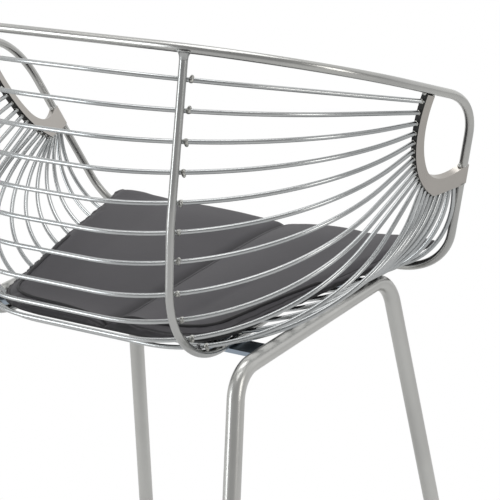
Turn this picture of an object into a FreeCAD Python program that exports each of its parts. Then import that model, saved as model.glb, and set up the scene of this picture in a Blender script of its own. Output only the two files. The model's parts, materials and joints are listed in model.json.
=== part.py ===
import FreeCAD, Part
import math
import os

# Wire armchair: a basket of round wires on a tube base, with a thin seat pad.
# Millimetres. +Z is up, the chair faces -Y, X = 0 is the middle plane and
# Z = 0 is the floor. "Forward" distances are counted from the middle of the
# top rail of the back and grow towards the front of the seat.

V3 = FreeCAD.Vector
os.makedirs("parts", exist_ok=True)

# Placing in the frame
back_to_middle = 177.1          # from the top rail forward to the middle of the base

# Rods and wires
rim_d = 10.0                    # rim rod
rib_d = 9.0                     # upright ribs behind and under the wires
wire_d = 5.0                    # basket wires
weld_gap = 0.2                  # left between two welded pieces

# Rim: back rail, arms, front bar
back_height = 760.0             # centre of the top rail
shoulder_half_width = 283.5     # where the rail's run and the arm's run would meet
shoulder_radius = 192.0
arm_half_width = 318.5          # top front corner of the arm
arm_forward = 290.0
arm_height = 680.0
arm_radius = 90.0
front_half_width = 243.0        # lower front corner of the arm
front_forward = 380.0
front_height = 451.0
front_radius = 86.0

# Crescent plate that closes each arm into a hand hole. Its outline is drawn in
# the plane of the arm: first number along the arm's top run, second square to
# it, both from the arm's corner.
plate_thickness = 8.0
plate_weld_start = 91.0         # where the plate takes the rod's place,
plate_weld_length = 27.0        # measured down the arm's front run
plate_outer_top = -92.5         # along the arm
plate_outer_a = (-68.0, -56.5)
plate_outer_b = (-38.0, -90.0)
plate_outer_c = (-9.5, -108.5)
plate_outer_d = (22.0, -119.0)
plate_inner_top = -79.5
plate_inner_a = (-55.0, -55.0)
plate_inner_b = (-20.0, -88.5)
plate_inner_c = (8.0, -97.0)

# Basket wires
wire_count = 20
wire_first_end = 10.0           # first wire's end, from the top of the plate's edge
wire_last_end = 5.5             # last wire's end, from the bottom of that edge
wire_end_crowding = 0.475       # last step between wire ends, as a share of the first
wire_end_depth = 4.0            # how far a wire aims into the plate before it is cut
wire_run_rail = 28.0            # half of the straight middle run, at the top rail
wire_run_high = 24.0            # the same, third wire
wire_run_turn = 62.0            # the same, where the back turns into the seat
wire_run_low = 177.0            # the same, last wire
wire_bend_rail = 152.0          # bend radius, at the top rail
wire_bend_high = 268.0          # the same, third wire
wire_bend_turn = 203.0          # the same, where the back turns into the seat
wire_bend_low = 156.0           # the same, last wire
wire_turn_count = 10            # the wire at that turn
wire_blend_count = 3.0          # wires over which the rail's shape fades

# Widths of the gaps between the wires along a rib, in proportion to each other
wire_first_gap = 31.7           # rail to first wire
wire_back_gap = 30.9            # on the back
wire_seat_gap = 33.8            # round the bend and on the seat
wire_last_gap = 50.0            # last wire to the front rod
wires_on_back = 7

# Ribs
rib_half_spacing = 141.0
rib_lean_deg = 8.9              # back run leans forward towards the top
rib_knee_height = 583.0         # below it the back run is steeper
rib_knee_deg = 6.1              # by this angle
rib_knee_radius = 320.0
rib_corner_forward = -33.3      # where back run and seat run would meet
rib_corner_height = 419.5
rib_radius = 85.0
rib_front_overhang = 4.0        # past the front rod's centre, on top of it
rib_end_gap = 0.9               # over that rod, at the rib's sloping end

# Base: two bent tubes and two flat bars
tube_d = 19.0
tube_wall = 1.5
frame_half_spacing = 188.0      # top run of each tube
frame_rear_forward = 23.5
frame_rear_below_rib = 2.1      # tube's centre below the rib's centre
frame_front_forward = 342.0
frame_front_below_rib = 8.1
frame_bend_radius = 40.0        # both bends of a side frame
leg_splay_deg = 6.45            # outward
rear_leg_rake_deg = 14.1        # backward
front_leg_rake_deg = 11.95      # forward
bar_width = 28.0
bar_thickness = 5.0
rear_bar_forward = 90.0
front_bar_forward = 300.0

# Foot glides
glide_d = 23.0
glide_height = 6.0
glide_plug_length = 14.0
glide_plug_clearance = 0.15

# Seat pad
pad_thickness = 13.0
pad_crown = 4.0                 # how far each half swells over its thickness
pad_valley = 3.6                # how far the middle seam is drawn in
pad_seam_side = -20.0           # the seam lies to the sitter's right of the middle
pad_edge_bulge = 2.5
pad_rest_gap = 0.8
pad_rear_forward = 12.0
pad_front_forward = 401.0
pad_rear_half_width = 142.0
pad_front_half_width = 239.0
pad_rear_corner = 58.0
pad_front_corner = 34.0
pad_middle_sections = 6         # cross sections between the rounded corners

rim_r = rim_d / 2
rib_r = rib_d / 2
wire_r = wire_d / 2
tube_r = tube_d / 2


def place(x, forward, up):
    """Point in the chair's frame from side, forward and height."""
    return V3(x, back_to_middle - forward, up)


def unit(v):
    return v * (1.0 / v.Length)


def bent_path(points, radii):
    """Straight runs through the points, joined by tangent arcs."""
    edges = []
    start = points[0]
    for k in range(1, len(points) - 1):
        corner = points[k]
        back = unit(points[k - 1] - corner)
        on = unit(points[k + 1] - corner)
        half = back.getAngle(on) / 2
        reach = radii[k - 1] / math.tan(half)
        arc_in = corner + back * reach
        arc_out = corner + on * reach
        middle_line = unit(back + on)
        centre = corner + middle_line * (radii[k - 1] / math.sin(half))
        arc_mid = centre - middle_line * radii[k - 1]
        if (arc_in - start).Length > 1e-6:
            edges.append(Part.LineSegment(start, arc_in).toShape())
        edges.append(Part.Arc(arc_in, arc_mid, arc_out).toShape())
        start = arc_out
    edges.append(Part.LineSegment(start, points[-1]).toShape())
    return Part.Wire(edges)


def rod(path, radius):
    """Round bar along a path that starts with a straight run."""
    first = path.OrderedEdges[0]
    origin = first.valueAt(first.FirstParameter)
    heading = first.tangentAt(first.FirstParameter)
    if (origin - path.OrderedVertexes[0].Point).Length > 1e-6:
        origin = path.OrderedVertexes[0].Point
        heading = heading * -1
    ring = Part.Wire([Part.Circle(origin, heading, radius).toShape()])
    return path.makePipeShell([ring], True, False)


def curve(a, b, c):
    """Arc through three points, or a line where they are in line."""
    if (b - a).cross(c - b).Length < 1e-3:
        return Part.LineSegment(a, c).toShape()
    return Part.Arc(a, b, c).toShape()


def mirrored(shape):
    return shape.mirror(V3(0, 0, 0), V3(1, 0, 0))


# Corner points of the rim's left half (positive X)
shoulder_point = place(shoulder_half_width, 0, back_height)
arm_point = place(arm_half_width, arm_forward, arm_height)
front_point = place(front_half_width, front_forward, front_height)
arm_along = unit(arm_point - shoulder_point)
arm_out = unit((front_point - arm_point).cross(arm_along))
if arm_out.x < 0:
    arm_out = arm_out * -1
arm_up = unit(arm_out.cross(arm_along))
if arm_up.z < 0:
    arm_up = arm_up * -1
arm_down = unit(front_point - arm_point)


def flipped(p):
    return V3(-p.x, p.y, p.z)


def rim_top_path():
    end = arm_point + arm_down * plate_weld_start
    right = [shoulder_point, arm_point, end]
    left = [flipped(p) for p in reversed(right)]
    return bent_path(left + right, [arm_radius, shoulder_radius, shoulder_radius, arm_radius])


def rim_front_path():
    start = arm_point + arm_down * (plate_weld_start + plate_weld_length)
    right = [front_point, start]
    left = [flipped(p) for p in reversed(right)]
    return bent_path(left + right, [front_radius, front_radius])


def on_arm(along, up):
    """Point of the arm's plane, from its two plane coordinates."""
    return arm_point + arm_along * along + arm_up * up


def on_front_run(down, inward):
    """Point beside the arm's front run, in the arm's plane."""
    side = unit(arm_down.cross(arm_out))
    if side.dot(arm_along) > 0:
        side = side * -1
    return arm_point + arm_down * down + side * inward


def plate_edge():
    """Outer edge of the crescent, from under the arm to the front run."""
    top = on_arm(plate_outer_top, -rim_r - weld_gap)
    low = on_front_run(plate_weld_start + plate_weld_length, rim_r)
    a = Part.Arc(top, on_arm(*plate_outer_a), on_arm(*plate_outer_b)).toShape()
    b = Part.Arc(on_arm(*plate_outer_b), on_arm(*plate_outer_c), on_arm(*plate_outer_d)).toShape()
    c = Part.LineSegment(on_arm(*plate_outer_d), low).toShape()
    return [a, b, c]


def plate_face():
    edges = plate_edge()
    low_end = plate_weld_start + plate_weld_length
    low_in = on_front_run(low_end, rim_r)
    low_out = on_front_run(low_end, -rim_r)
    high_out = on_front_run(plate_weld_start, -rim_r)
    high_in = on_front_run(plate_weld_start, rim_r)
    top_in = on_arm(plate_inner_top, -rim_r - weld_gap)
    top_out = on_arm(plate_outer_top, -rim_r - weld_gap)
    edges.append(Part.LineSegment(low_in, low_out).toShape())
    edges.append(Part.LineSegment(low_out, high_out).toShape())
    edges.append(Part.LineSegment(high_out, high_in).toShape())
    edges.append(Part.Arc(high_in, on_arm(*plate_inner_c), on_arm(*plate_inner_b)).toShape())
    edges.append(Part.Arc(on_arm(*plate_inner_b), on_arm(*plate_inner_a), top_in).toShape())
    edges.append(Part.LineSegment(top_in, top_out).toShape())
    return Part.Face(Part.Wire(edges))


def plate_solid(thickness, grow):
    face = plate_face()
    if grow > 0:
        face = Part.Face(face.OuterWire.makeOffset2D(grow))
    face.translate(arm_out * (-thickness / 2))
    return face.extrude(arm_out * thickness)


def wire_end(i):
    """Point where wire i meets the crescent's outer edge."""
    edges = plate_edge()
    room = sum(edge.Length for edge in edges) - wire_first_end - wire_last_end
    last = wire_count - 1
    closing = (wire_end_crowding - 1) / (last - 1)
    steps = [n + closing * n * (n - 1) / 2 for n in range(wire_count)]
    left = wire_first_end + room * steps[i - 1] / steps[last]
    for edge in edges:
        if left <= edge.Length:
            return edge.valueAt(edge.getParameterByLength(left))
        left = left - edge.Length
    return edges[-1].valueAt(edges[-1].LastParameter)


def rib_points():
    """Corner points of the left rib's centre line, top to front."""
    lean = math.tan(math.radians(rib_lean_deg))
    steep = math.tan(math.radians(rib_lean_deg - rib_knee_deg))
    knee_forward = rib_corner_forward + steep * (rib_knee_height - rib_corner_height)
    top_forward = knee_forward + lean * (back_height - rib_knee_height)
    top = place(rib_half_spacing, top_forward, back_height)
    knee = place(rib_half_spacing, knee_forward, rib_knee_height)
    corner = place(rib_half_spacing, rib_corner_forward, rib_corner_height)
    end_height = front_height + rim_r + rib_r + rib_end_gap
    front = place(rib_half_spacing, front_forward + rib_front_overhang, end_height)
    return top, knee, corner, front


def rib_path():
    return bent_path(list(rib_points()), [rib_knee_radius, rib_radius])


def rib_station(distance):
    """Point and inward normal on the rib, at a distance from its top."""
    left = distance
    for edge in rib_path().OrderedEdges:
        if left <= edge.Length:
            break
        left = left - edge.Length
    u = edge.getParameterByLength(min(left, edge.Length))
    tangent = edge.tangentAt(u)
    if tangent.z > 0.2 or tangent.y > 0.2:
        tangent = tangent * -1
        u = edge.getParameterByLength(edge.Length - min(left, edge.Length))
    inward = V3(0, tangent.z, -tangent.y)
    return edge.valueAt(u), unit(inward)


def wire_station(i):
    """Distance of wire i down the rib, by the proportions of the gaps."""
    on_back = min(i, wires_on_back) - 1
    on_seat = max(0, i - wires_on_back)
    all_back = wire_back_gap * (wires_on_back - 1)
    all_seat = wire_seat_gap * (wire_count - wires_on_back)
    whole = wire_first_gap + all_back + all_seat + wire_last_gap
    down = wire_first_gap + wire_back_gap * on_back + wire_seat_gap * on_seat
    return (rib_path().Length - rib_front_overhang) * down / whole


def by_wire(i, rail, high, turn, low):
    """Value for wire i: straight shares between the third wire, the wire at
    the turn and the last wire; above the third it fades to the rail's value."""
    if i <= wire_turn_count:
        value = high + (turn - high) * max(0.0, i - 3.0) / (wire_turn_count - 3.0)
    else:
        value = turn + (low - turn) * (i - wire_turn_count) / (wire_count - wire_turn_count)
    fade = max(0.0, 1 - i / wire_blend_count) ** 2
    return value + (rail - high) * fade


def wire_shape(i):
    """Half run, bend radius, rib point, rib normal and end point of wire i."""
    run = by_wire(i, wire_run_rail, wire_run_high, wire_run_turn, wire_run_low)
    bend = by_wire(i, wire_bend_rail, wire_bend_high, wire_bend_turn, wire_bend_low)
    at_rib, inward = rib_station(wire_station(i))
    return run, bend, at_rib, inward, wire_end(i)


def wire_plan(i):
    """Bend of wire i in its own plane, which holds the X direction."""
    run, bend, at_rib, inward, end = wire_shape(i)
    drop = 0.0
    slant = 0.0
    for step in range(8):
        crossing = at_rib + inward * ((rib_r + wire_r + weld_gap) / math.cos(slant))
        flat = V3(0, end.y - crossing.y, end.z - crossing.z)
        up = unit(flat)
        rise = flat.Length + drop
        reach = end.x - run
        room = (reach * reach + rise * rise) / (2 * rise)
        radius = min(bend, 0.995 * room)
        beside = max(0.0, rib_half_spacing - run)
        slant = math.asin(min(beside / radius, 0.9))
        drop = radius * (1 - math.cos(slant))
    rise = flat.Length + drop
    dx = end.x - run
    dy = rise - radius
    straight = math.sqrt(max(dx * dx + dy * dy - radius * radius, 0.0))
    turn = math.atan2(dy, dx) + math.atan2(radius, straight)
    middle = V3(0, crossing.y, crossing.z) - up * drop
    return run, radius, turn, middle, up, end


def wire_path(i):
    run, radius, turn, middle, up, end = wire_plan(i)
    side = V3(1, 0, 0)
    centre = middle + side * run + up * radius
    arc_in = middle + side * run
    arc_mid = centre + side * (radius * math.sin(turn / 2)) - up * (radius * math.cos(turn / 2))
    arc_out = centre + side * (radius * math.sin(turn)) - up * (radius * math.cos(turn))
    heading = side * math.cos(turn) + up * math.sin(turn)
    tip = end + heading * wire_end_depth
    edges = [Part.LineSegment(flipped(tip), flipped(arc_out)).toShape()]
    edges.append(Part.Arc(flipped(arc_out), flipped(arc_mid), flipped(arc_in)).toShape())
    edges.append(Part.LineSegment(flipped(arc_in), arc_in).toShape())
    edges.append(Part.Arc(arc_in, arc_mid, arc_out).toShape())
    edges.append(Part.LineSegment(arc_out, tip).toShape())
    return Part.Wire(edges)


def make_wire(i, cutters):
    solid = rod(wire_path(i), wire_r)
    for cutter in cutters:
        solid = solid.cut(cutter)
    return solid


def make_rib(rim_cutter):
    return rod(rib_path(), rib_r).cut(rim_cutter)


def rib_height(forward):
    """Height of the rib's centre line on its seat run."""
    top, knee, corner, front = rib_points()
    slope = (front.z - corner.z) / (corner.y - front.y)
    return corner.z + slope * (forward - rib_corner_forward)


frame_rear_height = rib_height(frame_rear_forward) - frame_rear_below_rib
frame_front_height = rib_height(frame_front_forward) - frame_front_below_rib


def frame_points():
    splay = math.tan(math.radians(leg_splay_deg))
    rear = frame_rear_height * math.tan(math.radians(rear_leg_rake_deg))
    front = frame_front_height * math.tan(math.radians(front_leg_rake_deg))
    rear_x = frame_half_spacing + splay * frame_rear_height
    front_x = frame_half_spacing + splay * frame_front_height
    rear_foot = place(rear_x, frame_rear_forward - rear, 0)
    rear_top = place(frame_half_spacing, frame_rear_forward, frame_rear_height)
    front_top = place(frame_half_spacing, frame_front_forward, frame_front_height)
    front_foot = place(front_x, frame_front_forward + front, 0)
    return rear_foot, rear_top, front_top, front_foot


def frame_rod(radius):
    path = bent_path(list(frame_points()), [frame_bend_radius, frame_bend_radius])
    return rod(path, radius)


def make_side_frame():
    tube = frame_rod(tube_r).cut(frame_rod(tube_r - tube_wall))
    rear_foot, rear_top, front_top, front_foot = frame_points()
    reach = rear_foot.y - front_foot.y + 4 * tube_d
    corner = V3(rear_foot.x - reach / 2, front_foot.y - 2 * tube_d, glide_height - tube_d)
    return tube.cut(Part.makeBox(reach, reach, tube_d, corner))


def make_glide(foot, top):
    heading = unit(top - foot)
    centre = foot + heading * (glide_height / 2 / heading.z)
    base = Part.makeCylinder(glide_d / 2, glide_height, V3(centre.x, centre.y, 0))
    plug_r = tube_r - tube_wall - glide_plug_clearance
    length = glide_height / 2 / heading.z + glide_plug_length
    plug = Part.makeCylinder(plug_r, length, centre, heading)
    return base.fuse(plug).removeSplitter()


def make_cross_bar(forward, tube_cutter):
    """Flat bar under both ribs, in line with their seat run, coped to the tubes."""
    top, knee, corner, front = rib_points()
    along = unit(front - corner)
    square = V3(0, -along.z, along.y)
    if square.z < 0:
        square = square * -1
    surface = place(0, forward, rib_height(forward)) - square * (rib_r + weld_gap)
    half = frame_half_spacing - tube_r / 2
    corners = []
    for side, ahead in ((-1, -1), (1, -1), (1, 1), (-1, 1)):
        corners.append(surface + V3(side * half, 0, 0) + along * (ahead * bar_width / 2))
    outline = Part.makePolygon(corners + [corners[0]])
    bar = Part.Face(outline).extrude(square * -bar_thickness)
    return bar.cut(tube_cutter).cut(mirrored(tube_cutter))


def front_bend():
    """The rim's front rod in the same terms as a wire's plan, raised by the ribs
    that cross on top of it."""
    rise = arm_point - front_point
    up = unit(V3(0, rise.y, rise.z))
    turn = math.atan2(rise.dot(up), rise.x)
    run = front_half_width - front_radius * math.tan(turn / 2)
    height = rib_height(front_forward) + rib_r - rim_r
    return run, front_radius, turn, place(0, front_forward, height), up


def bend_at(plan, x):
    """Forward distance and height of a bent rod's centre line at side x."""
    run, radius, turn, middle, up = plan
    if x <= run:
        w = 0.0
    elif x <= run + radius * math.sin(turn):
        w = radius - math.sqrt(radius * radius - (x - run) * (x - run))
    else:
        beyond = x - run - radius * math.sin(turn)
        w = radius * (1 - math.cos(turn)) + beyond * math.tan(turn)
    point = middle + up * w
    return back_to_middle - point.y, point.z


def basket_plans():
    """Plans and radii of the rods that the pad can lie on, rear to front."""
    plans = [(wire_plan(i)[:5], wire_r) for i in range(wire_count // 2 - 2, wire_count + 1)]
    plans.append((front_bend(), rim_r))
    return plans


def shell_height(plans, x, forward):
    """Height of the basket's upper side at a place in plan."""
    spots = []
    for plan, radius in plans:
        ahead, height = bend_at(plan, x)
        spots.append((ahead, height + radius))
    for low, high in zip(spots, spots[1:]):
        if low[0] <= forward <= high[0]:
            share = (forward - low[0]) / (high[0] - low[0])
            return low[1] + share * (high[1] - low[1])
    return spots[-1][1]


def pad_half_width(forward):
    """Half width of the pad in plan, with both corners rounded."""
    span = pad_front_forward - pad_rear_forward
    share = (forward - pad_rear_forward) / span
    half = pad_rear_half_width + (pad_front_half_width - pad_rear_half_width) * share
    from_rear = forward - pad_rear_forward
    from_front = pad_front_forward - forward
    if from_rear < pad_rear_corner:
        miss = pad_rear_corner - from_rear
        half = half - (pad_rear_corner - math.sqrt(pad_rear_corner ** 2 - miss ** 2))
    if from_front < pad_front_corner:
        miss = pad_front_corner - from_front
        half = half - (pad_front_corner - math.sqrt(pad_front_corner ** 2 - miss ** 2))
    return half


def pad_section(plans, forward, thickness):
    """One upright cross section of the pad, square to the Y direction."""
    half = pad_half_width(forward)
    xs = [0.0, half * 0.3, half * 0.6, half * 0.8, half]
    low = [shell_height(plans, x, forward) + pad_rest_gap for x in xs]
    low[3] = max(low[3], low[2] + (low[4] - low[2]) / 4)
    crown = pad_crown * thickness / pad_thickness
    high = [low[0] + thickness - pad_valley, low[1] + thickness + crown * 0.7,
            low[2] + thickness + crown, low[3] + thickness + crown * 0.9, low[4] + thickness * 0.8]

    def pt(k, z, sign):
        x = sign * xs[k] if k else pad_seam_side
        return place(x, forward, z[k])

    side_mid = (low[4] + high[4]) / 2
    edges = []
    edges.append(curve(pt(4, low, -1), pt(3, low, -1), pt(2, low, -1)))
    edges.append(curve(pt(2, low, -1), pt(1, low, -1), pt(0, low, 1)))
    edges.append(curve(pt(0, low, 1), pt(1, low, 1), pt(2, low, 1)))
    edges.append(curve(pt(2, low, 1), pt(3, low, 1), pt(4, low, 1)))
    bulge = place(half + pad_edge_bulge, forward, side_mid)
    edges.append(curve(pt(4, low, 1), bulge, pt(4, high, 1)))
    edges.append(curve(pt(4, high, 1), pt(3, high, 1), pt(2, high, 1)))
    edges.append(curve(pt(2, high, 1), pt(1, high, 1), pt(0, high, 1)))
    edges.append(curve(pt(0, high, 1), pt(1, high, -1), pt(2, high, -1)))
    edges.append(curve(pt(2, high, -1), pt(3, high, -1), pt(4, high, -1)))
    bulge = place(-half - pad_edge_bulge, forward, side_mid)
    edges.append(curve(pt(4, high, -1), bulge, pt(4, low, -1)))
    return Part.Wire(edges)


def make_pad():
    rear = pad_rear_forward
    front = pad_front_forward
    first = rear + pad_rear_corner
    last = front - pad_front_corner * 1.6
    stations = [rear + 1.0, rear + pad_rear_corner * 0.35, first]
    for k in range(1, pad_middle_sections + 1):
        stations.append(first + (last - first) * k / (pad_middle_sections + 1))
    stations += [last, front - pad_front_corner, front - pad_front_corner * 0.5, front - 1.0]
    heights = [pad_thickness] * len(stations)
    heights[0] = pad_thickness * 0.7
    heights[-1] = pad_thickness * 0.7
    plans = basket_plans()
    sections = [pad_section(plans, f, h) for f, h in zip(stations, heights)]
    return Part.makeLoft(sections, True, False)


def export(shape, name):
    solid = shape.Solids[0] if len(shape.Solids) == 1 else shape
    ok = solid.isValid() and len(shape.Solids) == 1
    print(name, "solids", len(shape.Solids), "valid", ok, "volume", round(shape.Volume))
    solid.exportStep("parts/" + name + ".step")


def main():
    top_path = rim_top_path()
    front_path = rim_front_path()
    export(rod(top_path, rim_r), "rim_top_rod")
    export(rod(front_path, rim_r), "rim_front_rod")

    plate = plate_solid(plate_thickness, 0)
    export(plate, "arm_plate_left")
    export(mirrored(plate), "arm_plate_right")

    plate_cutter = plate_solid(plate_thickness * 2.5, weld_gap)
    cutters = [plate_cutter, mirrored(plate_cutter)]
    for i in range(1, wire_count + 1):
        export(make_wire(i, cutters), "wire_%02d" % i)

    rim_cutter = rod(top_path, rim_r + weld_gap)
    rib = make_rib(rim_cutter)
    export(rib, "back_rib_left")
    export(mirrored(rib), "back_rib_right")

    frame = make_side_frame()
    export(frame, "side_frame_left")
    export(mirrored(frame), "side_frame_right")
    tube_cutter = frame_rod(tube_r + weld_gap)
    export(make_cross_bar(rear_bar_forward, tube_cutter), "cross_bar_rear")
    export(make_cross_bar(front_bar_forward, tube_cutter), "cross_bar_front")

    rear_foot, rear_top, front_top, front_foot = frame_points()
    rear_glide = make_glide(rear_foot, rear_top)
    front_glide = make_glide(front_foot, front_top)
    export(rear_glide, "foot_glide_rear_left")
    export(mirrored(rear_glide), "foot_glide_rear_right")
    export(front_glide, "foot_glide_front_left")
    export(mirrored(front_glide), "foot_glide_front_right")

    export(make_pad(), "seat_pad")


main()
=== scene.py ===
import json
import math

import bmesh
import bpy
import numpy as np
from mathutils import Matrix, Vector
from mathutils.bvhtree import BVHTree


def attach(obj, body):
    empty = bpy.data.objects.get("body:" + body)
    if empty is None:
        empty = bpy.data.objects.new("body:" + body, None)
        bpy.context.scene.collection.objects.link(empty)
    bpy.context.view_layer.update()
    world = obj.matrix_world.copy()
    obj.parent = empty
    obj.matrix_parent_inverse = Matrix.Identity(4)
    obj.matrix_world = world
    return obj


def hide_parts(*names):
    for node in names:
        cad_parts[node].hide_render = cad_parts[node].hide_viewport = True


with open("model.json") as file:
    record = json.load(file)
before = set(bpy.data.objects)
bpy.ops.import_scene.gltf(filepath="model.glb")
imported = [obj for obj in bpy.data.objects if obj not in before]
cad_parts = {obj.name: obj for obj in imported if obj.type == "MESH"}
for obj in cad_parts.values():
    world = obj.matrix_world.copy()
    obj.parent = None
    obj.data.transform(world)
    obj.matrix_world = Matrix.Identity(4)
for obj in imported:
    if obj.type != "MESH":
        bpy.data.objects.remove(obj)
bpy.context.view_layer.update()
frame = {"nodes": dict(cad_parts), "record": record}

# Wire armchair with a thin stitched seat pad. Metres; +Z is up, the sitter
# faces -Y and X = 0 is the middle plane. Steel rods, tubes, bars and plates
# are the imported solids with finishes. New here: weld metal, the sewn seat pad
# with its piping and stitches, the room and the lights.

nodes = frame["nodes"]
MM = 0.001

# The chair's own sizes, in millimetres, as its solids have them
BACK_TO_MIDDLE = 177.1
RIM_R = 5.0
RIB_R = 4.5
WIRE_R = 2.5
WELD_GAP = 0.2
SHOULDER = (283.5, 0.0, 760.0)
ARM_CORNER = (318.5, 290.0, 680.0)
FRONT_CORNER = (243.0, 380.0, 451.0)
PLATE_WELD_START = 91.0
PLATE_WELD_LENGTH = 27.0
PLATE_OUTER = ((-92.5, -5.2), (-68.0, -56.5), (-38.0, -90.0), (-9.5, -108.5), (22.0, -119.0))
WIRE_COUNT = 20
WIRE_FIRST_END = 10.0
WIRE_LAST_END = 5.5
WIRE_END_CROWDING = 0.475
WIRE_RUN = (28.0, 24.0, 62.0, 177.0)
WIRE_BEND = (152.0, 268.0, 203.0, 156.0)
WIRE_TURN = 10
WIRE_BLEND_COUNT = 3.0
WIRE_GAPS = (31.7, 30.9, 33.8, 50.0)
WIRES_ON_BACK = 7
RIB_X = 141.0
RIB_LEAN = 8.9
RIB_KNEE = (583.0, 6.1, 320.0)
RIB_CORNER = (-33.3, 419.5)
RIB_RADIUS = 85.0
RIB_OVERHANG = 4.0
RIB_END_GAP = 0.9
PAD_REAR = 12.0
PAD_FRONT = 401.0
PAD_REAR_HALF = 142.0
PAD_FRONT_HALF = 239.0
PAD_REAR_CORNER = 58.0
PAD_FRONT_CORNER = 34.0
PAD_SEAM_SIDE = -20.0

# The pad's sewing, in millimetres; seam stitches lie this far from the seam
STITCH_INSET = 8.0
SEAM_STITCHES = (-6.0, -0.2)
THREAD_PITCH = 4.0
THREAD_LENGTH = 3.1
THREAD_R = 0.42
THREAD_LIFT = 0.12
PIPING_R = 2.1

# Making the pad's cloth, in metres and steps
PAD_DRAWN_IN = 0.0012
PAD_VOXEL = 0.0045
PAD_RISE_CAP = 0.0035
CLOTH_STEPS = 20
ABOVE_PAD = 0.7
PAD_LEVEL = 0.47

# Weld metal in millimetres; a lump is its half length and its radius
BEAD_ON_WIRE = (3.6, 3.4)
BEAD_TO_RIB = (3.0, 2.3)
BEAD_BITE = 0.2
BEAD_STEP = 2.6
BEAD_SIDE_SHARE = 0.35
TIP_LUMP = (2.2, 3.1)
INNER_LUMP = (3.5, 2.6)
CORNER_LUMP = (3.0, 2.2)
FLARE_LENGTH = 8.5
FLARE_SPREAD = 5.6
FLARE_BITE = 1.6

# The room and the camera, in metres and radians
FLOOR_HALF = 30
OPEN_SIDE = (0.527, -0.805, 0.30)
CAMERA_SPOT = (-1.15984, 1.61401, 1.05035)
CAMERA_YAW = 0.5793998
CAMERA_PITCH = 0.2753495
CAMERA_LENS = 129.67
CAMERA_SENSOR = 36.0


# Points and lines of the basket

def place(x, forward, up):
    """Point from side, distance forward of the back rail and height."""
    return np.array([x, BACK_TO_MIDDLE - forward, up], float)


def unit(v):
    return v / np.linalg.norm(v)


def bent_line(points, radii, per_arc=24):
    """Points along straight runs joined by tangent arcs: each arc's centre lies
    on the corner's bisector at radius / sin(half the corner's angle)."""
    out = [points[0]]
    for before, corner, after, radius in zip(points, points[1:], points[2:], radii):
        back = unit(before - corner)
        on = unit(after - corner)
        half = math.acos(np.clip(back @ on, -1, 1)) / 2
        centre = corner + unit(back + on) * radius / math.sin(half)
        first = corner + back * radius / math.tan(half) - centre
        last = corner + on * radius / math.tan(half) - centre
        sweep = math.pi - 2 * half
        t = np.linspace(0, 1, per_arc)[:, None]
        arc = (first * np.sin((1 - t) * sweep) + last * np.sin(t * sweep)) / math.sin(sweep)
        out.extend(centre + arc)
    out.append(points[-1])
    return np.array(out)


def along(line, distance):
    """Point and heading at a distance along a run of points."""
    steps = np.linalg.norm(np.diff(line, axis=0), axis=1)
    reach = np.concatenate([[0], np.cumsum(steps)])
    k = int(np.clip(np.searchsorted(reach, distance) - 1, 0, len(steps) - 1))
    heading = (line[k + 1] - line[k]) / steps[k]
    return line[k] + heading * (distance - reach[k]), heading


arm_corner = place(*ARM_CORNER)
front_corner = place(*FRONT_CORNER)
arm_along = unit(arm_corner - place(*SHOULDER))
arm_out = unit(np.cross(front_corner - arm_corner, arm_along))
arm_out = arm_out * np.sign(arm_out[0])
arm_up = unit(np.cross(arm_out, arm_along))
arm_up = arm_up * np.sign(arm_up[2])
arm_down = unit(front_corner - arm_corner)
front_inward = unit(np.cross(arm_down, arm_out))
front_inward = front_inward * -np.sign(front_inward @ arm_along)


def on_arm(a, b):
    """Point of the arm's plane: a along the arm rod past its front corner, b up."""
    return arm_corner + arm_along * a + arm_up * b


def arc_through(a, b, c, count=40):
    """Points of the arc through three points: the centre solves equal distance
    to all three in their plane."""
    ab, ac = b - a, c - a
    n = np.cross(ab, ac)
    centre = a + (np.cross(n, ab) * (ac @ ac) + np.cross(ac, n) * (ab @ ab)) / (2 * n @ n)
    u = unit(a - centre)
    v = unit(np.cross(unit(n), u))
    r = np.linalg.norm(a - centre)
    end = math.atan2((c - centre) @ v, (c - centre) @ u) % (2 * math.pi)
    t = np.linspace(0, end, count)[:, None]
    return centre + r * (u * np.cos(t) + v * np.sin(t))


def crescent_edge():
    """The crescent's edge that takes the wires: two arcs through the outer
    points, then a straight run to the low weld."""
    o = [on_arm(*p) for p in PLATE_OUTER]
    low = arm_corner + arm_down * (PLATE_WELD_START + PLATE_WELD_LENGTH) + front_inward * RIM_R
    return np.concatenate([arc_through(o[0], o[1], o[2]), arc_through(o[2], o[3], o[4])[1:], [low]])


def rib_line():
    """A rib's centre line from the rail down: a lean, a slight knee, the bend
    under the back and the run to the top of the front rod."""
    knee_height, knee_turn, knee_radius = RIB_KNEE
    steep = math.tan(math.radians(RIB_LEAN - knee_turn))
    knee_forward = RIB_CORNER[0] + steep * (knee_height - RIB_CORNER[1])
    top_forward = knee_forward + math.tan(math.radians(RIB_LEAN)) * (SHOULDER[2] - knee_height)
    top = place(RIB_X, top_forward, SHOULDER[2])
    knee = place(RIB_X, knee_forward, knee_height)
    corner = place(RIB_X, *RIB_CORNER)
    front = place(RIB_X, FRONT_CORNER[1] + RIB_OVERHANG, FRONT_CORNER[2] + RIM_R + RIB_R + RIB_END_GAP)
    return bent_line([top, knee, corner, front], [knee_radius, RIB_RADIUS], 60)


edge_line = crescent_edge()
edge_length = np.linalg.norm(np.diff(edge_line, axis=0), axis=1).sum()
rib = rib_line()
rib_length = np.linalg.norm(np.diff(rib, axis=0), axis=1).sum() - RIB_OVERHANG


def by_wire(i, rail, high, turn, low):
    """Value for wire i: straight shares between the third wire, the wire at
    the turn and the last wire; above the third it fades to the rail's."""
    value = float(np.interp(i, [3, WIRE_TURN, WIRE_COUNT], [high, turn, low]))
    return value + (rail - high) * max(0.0, 1 - i / WIRE_BLEND_COUNT) ** 2


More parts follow.
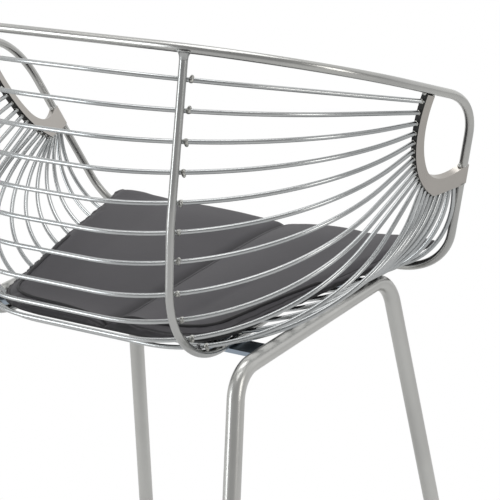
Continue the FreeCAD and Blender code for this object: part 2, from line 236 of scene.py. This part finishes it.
def wire_line(i):
    """Centre line of wire i's left half: a straight run along X, an arc and a
    tangent straight end, all in the plane that holds the X direction, the
    crossing with the rib and the end on the crescent's edge."""
    run = by_wire(i, *WIRE_RUN)
    bend = by_wire(i, *WIRE_BEND)
    first, back, seat, final = WIRE_GAPS
    down = first + back * (min(i, WIRES_ON_BACK) - 1) + seat * max(0, i - WIRES_ON_BACK)
    whole = first + back * (WIRES_ON_BACK - 1) + seat * (WIRE_COUNT - WIRES_ON_BACK) + final
    at_rib, heading = along(rib, rib_length * down / whole)
    inward = unit(np.array([0, heading[2], -heading[1]]))
    room_along = edge_length - WIRE_FIRST_END - WIRE_LAST_END
    last = WIRE_COUNT - 1
    n = np.arange(WIRE_COUNT)
    steps = n + (WIRE_END_CROWDING - 1) / (last - 1) * n * (n - 1) / 2
    end = along(edge_line, WIRE_FIRST_END + room_along * steps[i - 1] / steps[last])[0]
    drop = slant = 0.0
    # The crossing, the slant and the drop depend on each other; a few rounds settle them
    for _ in range(8):
        crossing = at_rib + inward * (RIB_R + WIRE_R + WELD_GAP) / math.cos(slant)
        flat = np.array([0, end[1] - crossing[1], end[2] - crossing[2]])
        up = unit(flat)
        rise = np.linalg.norm(flat) + drop
        reach = end[0] - run
        radius = min(bend, 0.995 * (reach * reach + rise * rise) / (2 * rise))
        slant = math.asin(min(max(0.0, RIB_X - run) / radius, 0.9))
        drop = radius * (1 - math.cos(slant))
    rise = np.linalg.norm(flat) + drop
    dx, dy = reach, rise - radius
    straight = math.sqrt(max(dx * dx + dy * dy - radius * radius, 0.0))
    turn = math.atan2(dy, dx) + math.atan2(radius, straight)
    middle = np.array([0, crossing[1], crossing[2]]) - up * drop
    t = np.linspace(0, turn, 40)[:, None]
    side = np.array([1.0, 0, 0])
    arc = middle + side * (run + radius * np.sin(t)) + up * (radius * (1 - np.cos(t)))
    return np.concatenate([[middle], arc, [end]])


wire_lines = [wire_line(i) for i in range(1, WIRE_COUNT + 1)]


def at_side(line, x):
    """Point and heading where a line that grows in X passes side x."""
    k = int(np.clip(np.searchsorted(line[:, 0], x) - 1, 0, len(line) - 2))
    step = line[k + 1] - line[k]
    return line[k] + step * (x - line[k, 0]) / step[0], unit(step)


# Making meshes

def add_piece(name, verts, faces, finish, slot):
    """New mesh piece at the origin, its place in its vertices, riding the body."""
    mesh = bpy.data.meshes.new(name)
    mesh.from_pydata((np.asarray(verts) * MM).tolist(), [], [tuple(f) for f in faces])
    mesh.validate()
    mesh.polygons.foreach_set("use_smooth", [True] * len(mesh.polygons))
    piece = bpy.data.objects.new(name, mesh)
    bpy.context.scene.collection.objects.link(piece)
    mesh.materials.append(finish)
    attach(piece, "root")
    return piece


def grid_faces(rows, cols, close_rows=False):
    """Quads of a grid of rows by cols points, its columns closed round, and its
    rows too where asked."""
    r = np.arange(rows if close_rows else rows - 1)
    r, c = np.meshgrid(r, np.arange(cols), indexing="ij")
    r2, c2 = (r + 1) % rows, (c + 1) % cols
    return np.stack([r * cols + c, r * cols + c2, r2 * cols + c2, r2 * cols + c], -1).reshape(-1, 4)


def side_and_up(line):
    """Side and up at each point of a closed line: side is the heading crossed
    with the vertical, or with Y where the line is upright."""
    ahead = np.roll(line, -1, 0) - np.roll(line, 1, 0)
    ahead = ahead / np.linalg.norm(ahead, axis=1)[:, None]
    side = np.cross(ahead, np.array([0, 0, 1.0]))
    upright = np.linalg.norm(side, axis=1) < 1e-3
    side[upright] = np.cross(ahead[upright], np.array([0, 1.0, 0]))
    side = side / np.linalg.norm(side, axis=1)[:, None]
    return side, np.cross(side, ahead)


def lathe_shape(centre, axis, profile, around=14):
    """Round lump: circles of the profile's radii at its heights along the axis,
    with both ends closed."""
    axis = unit(axis)
    ref = np.array([0, 0, 1.0]) if abs(axis[2]) < 0.9 else np.array([0, 1.0, 0])
    side = unit(np.cross(axis, ref))
    up = np.cross(axis, side)
    a = np.linspace(0, 2 * np.pi, around, endpoint=False)
    h, r = np.array(profile, float).T
    ring = side * np.cos(a)[:, None] + up * np.sin(a)[:, None]
    verts = centre + axis * h[:, None, None] + ring[None] * r[:, None, None]
    faces = [tuple(f) for f in grid_faces(len(h), around)]
    n = len(h) * around
    verts = np.concatenate([verts.reshape(-1, 3), [centre + axis * h[0], centre + axis * h[-1]]])
    for k in range(around):
        j = (k + 1) % around
        faces.append((n, j, k))
        faces.append((n + 1, n - around + k, n - around + j))
    return verts, faces


def joined(shapes):
    """One shape of many, with the later ones' corner numbers moved on."""
    verts, faces, base = [], [], 0
    for v, f in shapes:
        verts.append(v)
        faces.extend([tuple(int(k) + base for k in q) for q in f])
        base += len(v)
    return np.concatenate(verts), faces


def both_sides(shapes):
    """The shapes and their mirror images across X = 0, faces turned round."""
    out = list(shapes)
    for v, f in shapes:
        out.append((v * np.array([-1, 1, 1]), [tuple(reversed(q)) for q in f]))
    return out


def blob(length, radius, steps=7):
    """Half-round profile of a bead of weld metal, pole to pole."""
    t = np.linspace(0.08, np.pi - 0.08, steps)
    return list(zip(-np.cos(t) * length, np.sin(t) * radius))


# Shader maths

def new_node(tree, kind, settings=None, out=0, **sockets):
    """One output of a new node. Its settings are set first, then each socket's
    value or link; a socket's name has _ for a space, and i3 is its socket 3."""
    node = tree.nodes.new("ShaderNode" + kind)
    for key, item in (settings or {}).items():
        setattr(node, key, item)
    for key, item in sockets.items():
        key = int(key[1:]) if key[0] == "i" and key[1:].isdigit() else key.replace("_", " ")
        if isinstance(item, Value):
            tree.links.new(item.socket, node.inputs[key])
        else:
            node.inputs[key].default_value = item
    return Value(tree, node.outputs[out])


class Value:
    """A socket of a tree; +, - and * on values add Math nodes."""

    def __init__(self, tree, socket):
        self.tree = tree
        self.socket = socket

    def math(self, operation, other=None, clamp=False):
        settings = {"operation": operation, "use_clamp": clamp}
        second = {} if other is None else {"i1": other}
        return new_node(self.tree, "Math", settings, i0=self, **second)

    def __add__(self, other):
        return self.math("ADD", other)

    __radd__ = __add__

    def __sub__(self, other):
        return self.math("SUBTRACT", other)

    def __rsub__(self, other):
        return (self * -1.0).math("ADD", other)

    def __mul__(self, other):
        return self.math("MULTIPLY", other)

    __rmul__ = __mul__

    def steps(self, low, high):
        """0 below low, 1 above high, smooth between."""
        settings = {"interpolation_type": "SMOOTHSTEP"}
        return new_node(self.tree, "MapRange", settings, Value=self, From_Min=low, From_Max=high)


class Finish:
    """A material and the nodes that its finish is made of."""

    def __init__(self, name, **sockets):
        self.material = bpy.data.materials.new(name)
        self.material.use_nodes = True
        self.tree = self.material.node_tree
        self.tree.nodes.clear()
        self.out = self.tree.nodes.new("ShaderNodeOutputMaterial")
        self.shader = self.tree.nodes.new("ShaderNodeBsdfPrincipled")
        self.tree.links.new(self.shader.outputs[0], self.out.inputs["Surface"])
        for key, item in sockets.items():
            self.shader.inputs[key.replace("_", " ")].default_value = item

    def node(self, kind, settings=None, out=0, **sockets):
        return new_node(self.tree, kind, settings, out, **sockets)

    def place(self):
        return self.node("TexCoord", out="Object")

    def stretched(self, scale):
        return self.node("Mapping", Vector=self.place(), Scale=scale)

    def noise(self, vector, scale, detail=3.0, rough=0.55):
        return self.node("TexNoise", Vector=vector, Scale=scale, Detail=detail, Roughness=rough)

    def mix(self, factor, a, b):
        """Colour a where factor is 0, b where it is 1."""
        a, b = (item if isinstance(item, Value) else tuple(item) + (1.0,) for item in (a, b))
        return self.node("Mix", {"data_type": "RGBA"}, 2, i0=factor, i6=a, i7=b)

    def feed(self, socket, value):
        self.tree.links.new(value.socket, self.shader.inputs[socket])

    def bump(self, height, distance, strength=1.0):
        self.feed("Normal", self.node("Bump", Height=height, Distance=distance, Strength=strength))


# Finishes

def drawn_steel(name, dull, bright, rough=0.24, scale=1.0):
    """Satin plated steel: faint cloudy tone, fine drawn scratches, soft dents."""
    f = Finish(name, Metallic=1.0)
    cloud = f.noise(f.place(), 9.0 * scale, 4.0)
    grain = f.noise(f.stretched((40.0, 900.0, 900.0)), 1.0, 2.0)
    f.feed("Base Color", f.mix(cloud.steps(0.3, 0.7), dull, bright))
    f.feed("Roughness", cloud * 0.10 + grain * 0.06 + (rough - 0.08))
    f.bump(grain + f.noise(f.place(), 60.0, 2.0) * 2.0, 0.00003, 0.35)
    return f.material


def crescent_steel(name, face, dark):
    """The crescent's faces are satin grey; its outer edge, where the wires end,
    is dark. The edge is where the surface turns away from the arm's plane and
    from the middle of the hand hole."""
    f = Finish(name)
    cloud = f.noise(f.place(), 14.0, 4.0)
    normal = f.node("NewGeometry", out="Normal")
    masks = []
    for side in (1, -1):
        out = arm_out * np.array([side, 1, 1])
        hole = on_arm(-12.0, -48.0) * np.array([side, 1, 1]) * MM
        flat = f.node("VectorMath", {"operation": "DOT_PRODUCT"}, "Value", i0=normal, i1=tuple(out))
        away = f.node("VectorMath", {"operation": "SUBTRACT"}, 0, i0=f.place(), i1=tuple(hole))
        turned = f.node("VectorMath", {"operation": "DOT_PRODUCT"}, "Value", i0=normal, i1=away)
        edge = (1.0 - flat.math("ABSOLUTE").steps(0.4, 0.7)) * turned.steps(0.002, 0.006)
        here = f.node("SeparateXYZ", Vector=f.place()) * float(side)
        masks.append(edge * here.steps(-0.001, 0.001))
    edge = masks[0].math("ADD", masks[1], clamp=True)
    low = f.node("SeparateXYZ", out="Z", Vector=f.place()).steps(0.57, 0.60)
    edge = edge * (low * 0.25 + 0.75)
    grey = f.mix(cloud.steps(0.3, 0.7), face, tuple(c * 1.07 for c in face))
    f.feed("Base Color", f.mix(edge, grey, dark))
    f.feed("Metallic", 1.0 - edge * 0.9)
    f.feed("Roughness", cloud * 0.08 + edge * 0.25 + 0.24)
    f.bump(f.noise(f.stretched((60.0, 700.0, 700.0)), 1.0, 2.0), 0.00003, 0.3)
    return f.material


def weld_metal(name, dull, bright):
    """Small cast lumps: rippled, rougher, their tone varying with the ripple."""
    f = Finish(name, Metallic=1.0)
    ripple = f.noise(f.place(), 420.0, 3.0, 0.6)
    f.feed("Base Color", f.mix(ripple.steps(0.35, 0.65), dull, bright))
    f.feed("Roughness", ripple * 0.25 + 0.22)
    f.bump(ripple, 0.0004, 0.6)
    return f.material


def smooth_leather(name, deep, tone, sewn=True):
    """Leatherette: small pebbled grain, slow clouds of tone, soft sheen. Where
    sewn, the sides get painted shade, a near-black band runs along the border on the top,
    fine grooves follow the border and the middle seam with painted shade in them, and
    painted shade darkens a valley beside the seam, by the mesh's distances."""
    f = Finish(name, Specular_IOR_Level=0.32)
    cloud = f.noise(f.place(), 11.0, 4.0)
    pebble = f.node("TexVoronoi", {"feature": "DISTANCE_TO_EDGE"}, 0, Vector=f.place(), Scale=950.0)
    fine = f.noise(f.place(), 1600.0, 2.0)
    colour = f.mix(cloud.steps(0.25, 0.75), deep, tone)
    height = pebble.steps(0.0, 0.35) * 0.12 + fine * 0.05
    if sewn:
        edge = f.node("Attribute", {"attribute_name": "edge_mm"}, "Fac")
        seam = f.node("Attribute", {"attribute_name": "seam_mm"}, "Fac")
        upward = f.node("Attribute", {"attribute_name": "upward"}, "Fac")
        top = upward.steps(0.2, 0.6)
        border = 1.0 - (edge - STITCH_INSET).math("ABSOLUTE").steps(0.5, 1.2)
        first = 1.0 - (seam - SEAM_STITCHES[1]).math("ABSOLUTE").steps(0.5, 1.3)
        second = 1.0 - (seam - SEAM_STITCHES[0]).math("ABSOLUTE").steps(0.4, 1.0)
        groove = border.math("MAXIMUM", first).math("MAXIMUM", second) * top
        # Painted shade: the valley beside the seam and the stitch grooves are darkened towards near black
        valley = (1.0 - seam.steps(0.0, 11.0)) * seam.steps(-1.0, 0.5) * top
        colour = f.mix(valley * 0.72, colour, (0.006, 0.006, 0.007))
        colour = f.mix(groove * 0.85, colour, (0.006, 0.006, 0.007))
        # Painted shade on the sides, where the surface is not the top; on the top, a near-black band along the
        # border
        border_band_and_side_shade = 1.0 - edge.steps(2.8, 3.8) * top
        colour = f.mix(border_band_and_side_shade * 0.9, colour, (0.008, 0.008, 0.009))
        height = height - groove
    f.feed("Base Color", colour)
    f.feed("Roughness", cloud * 0.10 + fine * 0.08 + 0.42)
    f.bump(height, 0.0006, 0.6)
    return f.material


def moulded_plastic(name, tone):
    f = Finish(name)
    speck = f.noise(f.place(), 900.0, 2.0)
    f.feed("Base Color", f.mix(speck.steps(0.35, 0.65), tone, tuple(c * 1.5 for c in tone)))
    f.feed("Roughness", speck * 0.15 + 0.45)
    f.bump(speck, 0.0001, 0.3)
    return f.material


def thread(name, tone):
    """Twisted sewing thread: slanting ridges by position."""
    f = Finish(name)
    twist = f.node("TexWave", {"wave_type": "BANDS", "bands_direction": "DIAGONAL"}, 0,
                   Vector=f.place(), Scale=900.0, Distortion=0.5)
    f.feed("Base Color", f.mix(twist, tuple(c * 0.6 for c in tone), tone))
    f.feed("Roughness", twist * 0.2 + 0.5)
    f.bump(twist, 0.0001, 0.4)
    return f.material


rim_steel = drawn_steel("rim_steel", (0.40, 0.40, 0.39), (0.48, 0.48, 0.46))
wire_steel = drawn_steel("wire_steel", (0.38, 0.395, 0.40), (0.47, 0.48, 0.48), 0.22)
rib_steel = drawn_steel("rib_steel", (0.38, 0.385, 0.38), (0.46, 0.46, 0.45))
tube_steel = drawn_steel("tube_steel", (0.47, 0.47, 0.455), (0.55, 0.55, 0.53), 0.3, 0.6)
bar_steel = drawn_steel("bar_steel", (0.26, 0.31, 0.37), (0.34, 0.39, 0.45), 0.3)
plate_steel = crescent_steel("plate_steel", (0.385, 0.365, 0.34), (0.012, 0.012, 0.012))
bead_steel = weld_metal("bead_steel", (0.22, 0.22, 0.21), (0.55, 0.55, 0.52))
# The inner beads' weld metal is near black: painted shade on the rib's shaded side
shaded_bead_steel = weld_metal("shaded_bead_steel", (0.04, 0.04, 0.045), (0.16, 0.16, 0.16))
pad_leather = smooth_leather("pad_leather", (0.034, 0.032, 0.037), (0.044, 0.041, 0.047))
piping_leather = smooth_leather("piping_leather", (0.008, 0.008, 0.009), (0.013, 0.012, 0.014), False)
pad_thread = thread("pad_thread", (0.030, 0.028, 0.031))
glide_plastic = moulded_plastic("glide_plastic", (0.02, 0.02, 0.02))

finish_of = {"rim": rim_steel, "wire": wire_steel, "plate": plate_steel, "leg_tube": tube_steel,
             "bar": bar_steel, "glide": glide_plastic, "pad_cover": pad_leather}
for entry in frame["record"]["subparts"]:
    node = nodes[entry["node"]]
    finish = rib_steel if "rib" in entry["node"] else finish_of[entry["material_slot"]]
    node.data.materials.clear()
    node.data.materials.append(finish)


# Weld metal

def weld_beads(side):
    """Beads beside every crossing of a wire and a rib, on one side of the rib:
    a lump on the wire, and a smaller one that leans to the rib."""
    shapes = []
    for line in wire_lines:
        here, heading = at_side(line, RIB_X)
        lean = unit(heading * side * BEAD_SIDE_SHARE + here_to_rib(here))
        spot = here + heading * side * (RIB_R - BEAD_BITE)
        shapes.append(lathe_shape(spot, heading, blob(*BEAD_ON_WIRE)))
        shapes.append(lathe_shape(spot + lean * BEAD_STEP, lean, blob(*BEAD_TO_RIB)))
    return joined(both_sides(shapes))


def here_to_rib(point):
    """Direction from a wire's crossing to the rib's nearest point."""
    k = int(np.argmin(np.linalg.norm(rib - point, axis=1)))
    return unit(rib[k] - point)


def wire_tips():
    """A lump at each wire's end, against the crescent's edge."""
    shapes = []
    for line in wire_lines:
        tip, last = line[-1], unit(line[-1] - line[-2])
        shapes.append(lathe_shape(tip - last * 1.2, last, blob(*TIP_LUMP)))
    return joined(both_sides(shapes))


def rib_flares():
    """Trumpet of weld metal from each rib's top to the rail: its radius grows
    as a quarter circle towards the rail."""
    heading = unit(rib[1] - rib[0])
    t = np.linspace(0, 1, 9)
    radius = RIB_R + 0.1 + FLARE_SPREAD * (1 - np.sqrt(1 - (1 - t) ** 2))
    profile = list(zip(RIM_R - FLARE_BITE + FLARE_LENGTH * t, radius))
    return joined(both_sides([lathe_shape(rib[0], heading, profile, 24)]))


def crescent_welds():
    """Lumps where the crescent meets the rim rod, and a thin ring round the rod
    at each end of the low weld."""
    shapes = []
    low = PLATE_WELD_START
    inner = arm_corner + arm_down * (low - 0.5) + front_inward * (RIM_R + 1.0)
    shapes.append(lathe_shape(inner, arm_down, blob(*INNER_LUMP)))
    outer = arm_corner + arm_down * (low + PLATE_WELD_LENGTH + 1.0) + front_inward * (RIM_R + 0.6)
    shapes.append(lathe_shape(outer, arm_down, blob(*CORNER_LUMP)))
    for a in (-93.5, -78.5):
        shapes.append(lathe_shape(on_arm(a, -RIM_R - 0.8), arm_along, blob(*CORNER_LUMP)))
    for down in (low, low + PLATE_WELD_LENGTH):
        centre = arm_corner + arm_down * down
        ring = [(-0.7, RIM_R), (-0.45, RIM_R + 0.22), (0, RIM_R + 0.32), (0.45, RIM_R + 0.22), (0.7, RIM_R)]
        shapes.append(lathe_shape(centre, arm_down, ring, 28))
    return joined(both_sides(shapes))


# The inner beads take the near-black weld metal, which is painted shade
add_piece("weld_beads_inner", *weld_beads(-1), shaded_bead_steel, "wire")
add_piece("weld_beads_outer", *weld_beads(1), bead_steel, "wire")
add_piece("wire_tips", *wire_tips(), bead_steel, "wire")
add_piece("rib_flares", *rib_flares(), rib_steel, "wire")
add_piece("crescent_welds", *crescent_welds(), rim_steel, "rim")


# Seat pad

def pad_outline(beyond=0.0, count=220):
    """Closed line round the pad in plan: straight tapered sides and rounded
    corners, moved outwards by beyond. Its points are x and y."""
    slope = (PAD_FRONT_HALF - PAD_REAR_HALF) / (PAD_FRONT - PAD_REAR)
    forward = PAD_REAR + (PAD_FRONT - PAD_REAR) * (1 - np.cos(np.linspace(0, np.pi, count))) / 2
    half = PAD_REAR_HALF + slope * (forward - PAD_REAR)
    for corner, gone in ((PAD_REAR_CORNER, forward - PAD_REAR), (PAD_FRONT_CORNER, PAD_FRONT - forward)):
        miss = np.clip(corner - gone, 0, corner)
        half = half - (corner - np.sqrt(corner ** 2 - miss ** 2))
    right = np.stack([half, BACK_TO_MIDDLE - forward], 1)
    line = np.concatenate([right, right[::-1] * np.array([-1, 1])])
    step = np.linalg.norm(np.diff(np.concatenate([line, line[:1]]), axis=0), axis=1)
    reach = np.concatenate([[0], np.cumsum(step)])
    t = np.linspace(0, reach[-1], 2 * count, endpoint=False)
    line = np.stack([np.interp(t, reach, np.append(line[:, k], line[0, k])) for k in range(2)], 1)
    ahead = np.roll(line, -1, 0) - np.roll(line, 1, 0)
    ahead /= np.linalg.norm(ahead, axis=1)[:, None]
    out = np.stack([-ahead[:, 1], ahead[:, 0]], 1)
    return line + out * beyond


def outline_distance(x, y, outline):
    """Distance from each plan point to the outline's nearest run, 40 runs at a
    time: the point's share along each run is held between its ends."""
    points = np.stack([x, y], 1)
    a = outline
    b = np.roll(outline, -1, 0)
    best = np.full(len(points), 1e9)
    for k in range(0, len(a), 40):
        p, q = a[None, k:k + 40], b[None, k:k + 40]
        run = q - p
        t = np.clip(((points[:, None] - p) * run).sum(-1) / (run * run).sum(-1), 0, 1)
        gap = np.linalg.norm(points[:, None] - p - run * t[..., None], axis=-1)
        best = np.minimum(best, gap.min(1))
    return best


def mesh_points(mesh):
    co = np.empty(len(mesh.vertices) * 3, np.float32)
    mesh.vertices.foreach_get("co", co)
    return co.reshape(-1, 3).astype(float)


def mesh_normals(mesh):
    no = np.empty(len(mesh.vertices) * 3, np.float32)
    mesh.vertex_normals.foreach_get("vector", no)
    return no.reshape(-1, 3).astype(float)


def set_points(mesh, points):
    mesh.vertices.foreach_set("co", points.astype(np.float32).ravel())
    mesh.update()


def evaluated(piece):
    depsgraph = bpy.context.evaluated_depsgraph_get()
    return bpy.data.meshes.new_from_object(piece.evaluated_get(depsgraph))


def sewn_pad():
    """The pad's solid is merged, drawn in a little, remeshed and blown up as
    cloth under a small pressure. Its rise is capped, and it keeps its bed on
    the wires. The seams are cut in afterwards from the distances to the
    outline and to the middle seam."""
    mesh = nodes["seat_pad"].data.copy()
    work = bmesh.new()
    work.from_mesh(mesh)
    bmesh.ops.remove_doubles(work, verts=work.verts, dist=1e-5)
    bmesh.ops.recalc_face_normals(work, faces=work.faces)
    work.to_mesh(mesh)
    work.free()
    set_points(mesh, mesh_points(mesh) - mesh_normals(mesh) * PAD_DRAWN_IN)
    piece = bpy.data.objects.new("seat_cushion", mesh)
    bpy.context.scene.collection.objects.link(piece)
    remesh = piece.modifiers.new("remesh", "REMESH")
    remesh.mode = "VOXEL"
    remesh.voxel_size = PAD_VOXEL
    piece.data = evaluated(piece)
    piece.modifiers.clear()
    rest = mesh_points(piece.data)
    cloth = piece.modifiers.new("cloth", "CLOTH")
    cloth.settings.quality = 6
    cloth.settings.use_pressure = True
    cloth.settings.uniform_pressure_force = 4.0
    cloth.settings.effector_weights.gravity = 0.0
    cloth.settings.tension_stiffness = 30.0
    cloth.settings.bending_stiffness = 2.0
    for step in range(1, CLOTH_STEPS + 1):
        bpy.context.scene.frame_set(step)
    blown = evaluated(piece)
    piece.modifiers.clear()
    move = mesh_points(blown) - rest
    length = np.linalg.norm(move, axis=1)[:, None] + 1e-12
    move *= np.minimum(length, PAD_RISE_CAP) / length
    under = np.clip(-mesh_normals(piece.data)[:, 2:3] * 1.6, 0, 1)
    set_points(piece.data, rest + move * (1 - under))
    bpy.context.scene.frame_set(1)
    smooth = piece.modifiers.new("finer", "SUBSURF")
    smooth.levels = smooth.render_levels = 1
    piece.data = evaluated(piece)
    piece.modifiers.clear()
    mesh = piece.data
    co, no = mesh_points(mesh), mesh_normals(mesh)
    edge = outline_distance(co[:, 0] / MM, co[:, 1] / MM, pad_outline())
    top = np.clip(no[:, 2] * 2.0 - 0.4, 0, 1)
    across = co[:, 0] / MM - PAD_SEAM_SIDE
    # Bell-shaped furrows: the border, the seam, the valley beside it, the second stitching
    sunk = 0.9 * np.exp(-((edge - STITCH_INSET) / 2.2) ** 2) + 2.6 * np.exp(-((across - 1.0) / 2.6) ** 2)
    sunk += 1.6 * np.exp(-((across - 5.0) / 4.5) ** 2)
    sunk += 0.8 * np.exp(-((across - SEAM_STITCHES[0]) / 1.6) ** 2)
    co[:, 2] -= sunk * top * MM
    set_points(mesh, co)
    for name, values in (("edge_mm", edge), ("seam_mm", across), ("upward", no[:, 2])):
        layer = mesh.attributes.new(name, "FLOAT", "POINT")
        layer.data.foreach_set("value", values.astype(np.float32))
    mesh.polygons.foreach_set("use_smooth", [True] * len(mesh.polygons))
    mesh.materials.clear()
    mesh.materials.append(pad_leather)
    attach(piece, "root")
    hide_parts("seat_pad")
    return piece


def surface_tree(piece):
    mesh = piece.data
    return BVHTree.FromPolygons([tuple(v.co) for v in mesh.vertices],
                                [tuple(p.vertices) for p in mesh.polygons])


def drop_on(tree, plan, lift):
    """The plan's points let down on the pad's top, or taken to its nearest
    point where they miss it, and lifted off the surface."""
    spots = []
    for x, y in plan:
        hit, normal, _, _ = tree.ray_cast(Vector((x * MM, y * MM, ABOVE_PAD)), Vector((0, 0, -1)))
        if hit is None:
            hit, normal, _, _ = tree.find_nearest(Vector((x * MM, y * MM, PAD_LEVEL)))
        spots.append(np.array(hit) / MM + np.array(normal) * lift)
    return np.array(spots)


def stitch_run(tree, plan, closed=False):
    """Short thread capsules along a plan line, each let down on the pad."""
    if closed:
        plan = np.concatenate([plan, plan[:1]])
    steps = np.linalg.norm(np.diff(plan, axis=0), axis=1)
    reach = np.concatenate([[0], np.cumsum(steps)])
    t = np.arange(THREAD_PITCH / 2, reach[-1] - THREAD_PITCH / 2, THREAD_PITCH)
    mid = np.stack([np.interp(t, reach, plan[:, k]) for k in range(2)], 1)
    tip = np.stack([np.interp(t + THREAD_LENGTH / 2, reach, plan[:, k]) for k in range(2)], 1)
    profile = blob(THREAD_LENGTH / 2, THREAD_R, 5)
    ends = zip(drop_on(tree, mid, THREAD_LIFT), drop_on(tree, tip, THREAD_LIFT))
    return [lathe_shape(a, b - a, profile, 6) for a, b in ends]


def pad_piping(tree):
    """Cord-filled binding round the pad: a tube whose line is the pad's nearest
    points to a line well within its outline, smoothed along its length."""
    within = pad_outline(beyond=-14.0, count=200)
    past = pad_outline(beyond=1.5, count=200)
    line = []
    for (x, y), (x2, y2) in zip(within, past):
        top, _, _, _ = tree.ray_cast(Vector((x2 * MM, y2 * MM, ABOVE_PAD)), Vector((0, 0, -1)))
        z = (top.z if top else PAD_LEVEL) - 0.0035
        hit, _, _, _ = tree.find_nearest(Vector((x * MM, y * MM, z + 0.002)))
        line.append((hit.x / MM, hit.y / MM, hit.z / MM))
    line = np.array(line)
    for _ in range(6):
        line = (np.roll(line, 1, 0) + line * 2 + np.roll(line, -1, 0)) / 4
    side, up = side_and_up(line)
    around = 12
    a = np.linspace(0, 2 * np.pi, around, endpoint=False)
    ring = side[:, None] * np.cos(a)[:, None] + up[:, None] * np.sin(a)[:, None]
    verts = line[:, None] + PIPING_R * ring
    return verts.reshape(-1, 3), grid_faces(len(line), around, close_rows=True)


cushion = sewn_pad()
pad_tree = surface_tree(cushion)
piping = add_piece("pad_piping", *pad_piping(pad_tree), piping_leather, "pad_cover")
middle_run = np.stack([np.zeros(120), BACK_TO_MIDDLE - np.linspace(PAD_REAR + 6, PAD_FRONT - 6, 120)], 1)
stitches = stitch_run(pad_tree, pad_outline(beyond=STITCH_INSET), closed=True)
for beside in SEAM_STITCHES:
    stitches += stitch_run(pad_tree, middle_run + np.array([PAD_SEAM_SIDE + beside, 0]))
add_piece("pad_stitches", *joined(stitches), pad_thread, "pad_cover")


# Room, lights, camera

def room_material(name, tone):
    """Pale diffuse surface that the camera and glass see as plain white, and
    gloss sees partly so."""
    f = Finish(name, Base_Color=tuple(tone) + (1.0,), Roughness=0.9)
    rays = f.node("LightPath", out="Is Camera Ray")
    gloss = f.node("LightPath", out="Is Glossy Ray")
    glass = f.node("LightPath", out="Is Transmission Ray")
    diffuse = Value(f.tree, f.shader.outputs[0])
    mixed = f.node("MixShader", i0=rays + gloss * 0.35 + glass, i1=diffuse, i2=f.node("Emission"))
    f.tree.links.new(mixed.socket, f.out.inputs["Surface"])
    return f.material


floor_mesh = bpy.data.meshes.new("floor")
floor_corners = [(x * FLOOR_HALF, y * FLOOR_HALF, 0) for x, y in ((-1, -1), (1, -1), (1, 1), (-1, 1))]
floor_mesh.from_pydata(floor_corners, [], [(0, 1, 2, 3)])
floor = bpy.data.objects.new("floor", floor_mesh)
bpy.context.scene.collection.objects.link(floor)
floor_mesh.materials.append(room_material("floor_pale", (0.80, 0.80, 0.80)))

world = bpy.data.worlds.new("room")
bpy.context.scene.world = world
world.use_nodes = True
room = world.node_tree
room.nodes.clear()

# Towards the sitter's front the room is white; behind the camera it is grey
direction = new_node(room, "TexCoord", out="Generated")
facing = new_node(room, "VectorMath", {"operation": "DOT_PRODUCT"}, "Value", i0=direction, i1=OPEN_SIDE)
open_side = facing.steps(-0.25, 0.35)
camera_ray = new_node(room, "LightPath", out="Is Camera Ray")
glossy_ray = new_node(room, "LightPath", out="Is Glossy Ray")
glass_ray = new_node(room, "LightPath", out="Is Transmission Ray")
see = camera_ray.math("ADD", glass_ray, clamp=True)
level = see + (1.0 - see) * (glossy_ray * (open_side * 0.55 + 0.45) + (1.0 - glossy_ray) * 0.62)
shade = new_node(room, "Background", Color=(1.0, 1.0, 1.0, 1.0), Strength=level)
world_out = room.nodes.new("ShaderNodeOutputWorld")
room.links.new(shade.socket, world_out.inputs["Surface"])


def softbox(name, spot, aim, size, watts, tone=(1, 1, 1)):
    lamp = bpy.data.lights.new(name, "AREA")
    lamp.shape = "RECTANGLE"
    lamp.size, lamp.size_y = size
    lamp.energy = watts
    lamp.color = tone
    holder = bpy.data.objects.new(name, lamp)
    bpy.context.scene.collection.objects.link(holder)
    holder.location = spot
    holder.rotation_euler = (Vector(aim) - Vector(spot)).to_track_quat("-Z", "Y").to_euler()


aim = (0, 0, 0.5)
softbox("softbox_left_rear", (1.9, 2.6, 0.95), aim, (1.0, 1.6), 22, (0.95, 0.98, 1.0))
softbox("softbox_above", (0.2, 0.3, 3.0), aim, (2.0, 2.0), 26)
softbox("softbox_right", (-3.0, 0.4, 1.6), aim, (0.8, 1.8), 14, (1.0, 0.98, 0.95))

camera_data = bpy.data.cameras.new("camera")
camera_data.lens = CAMERA_LENS
camera_data.sensor_width = CAMERA_SENSOR
camera_data.clip_end = 100.0
camera = bpy.data.objects.new("camera", camera_data)
bpy.context.scene.collection.objects.link(camera)
camera.location = CAMERA_SPOT
level_share = math.cos(CAMERA_PITCH)
view = Vector((math.sin(CAMERA_YAW) * level_share, -math.cos(CAMERA_YAW) * level_share, -math.sin(CAMERA_PITCH)))
camera.rotation_euler = view.to_track_quat("-Z", "Y").to_euler()
bpy.context.scene.camera = camera
bpy.context.scene.view_settings.view_transform = "Standard"
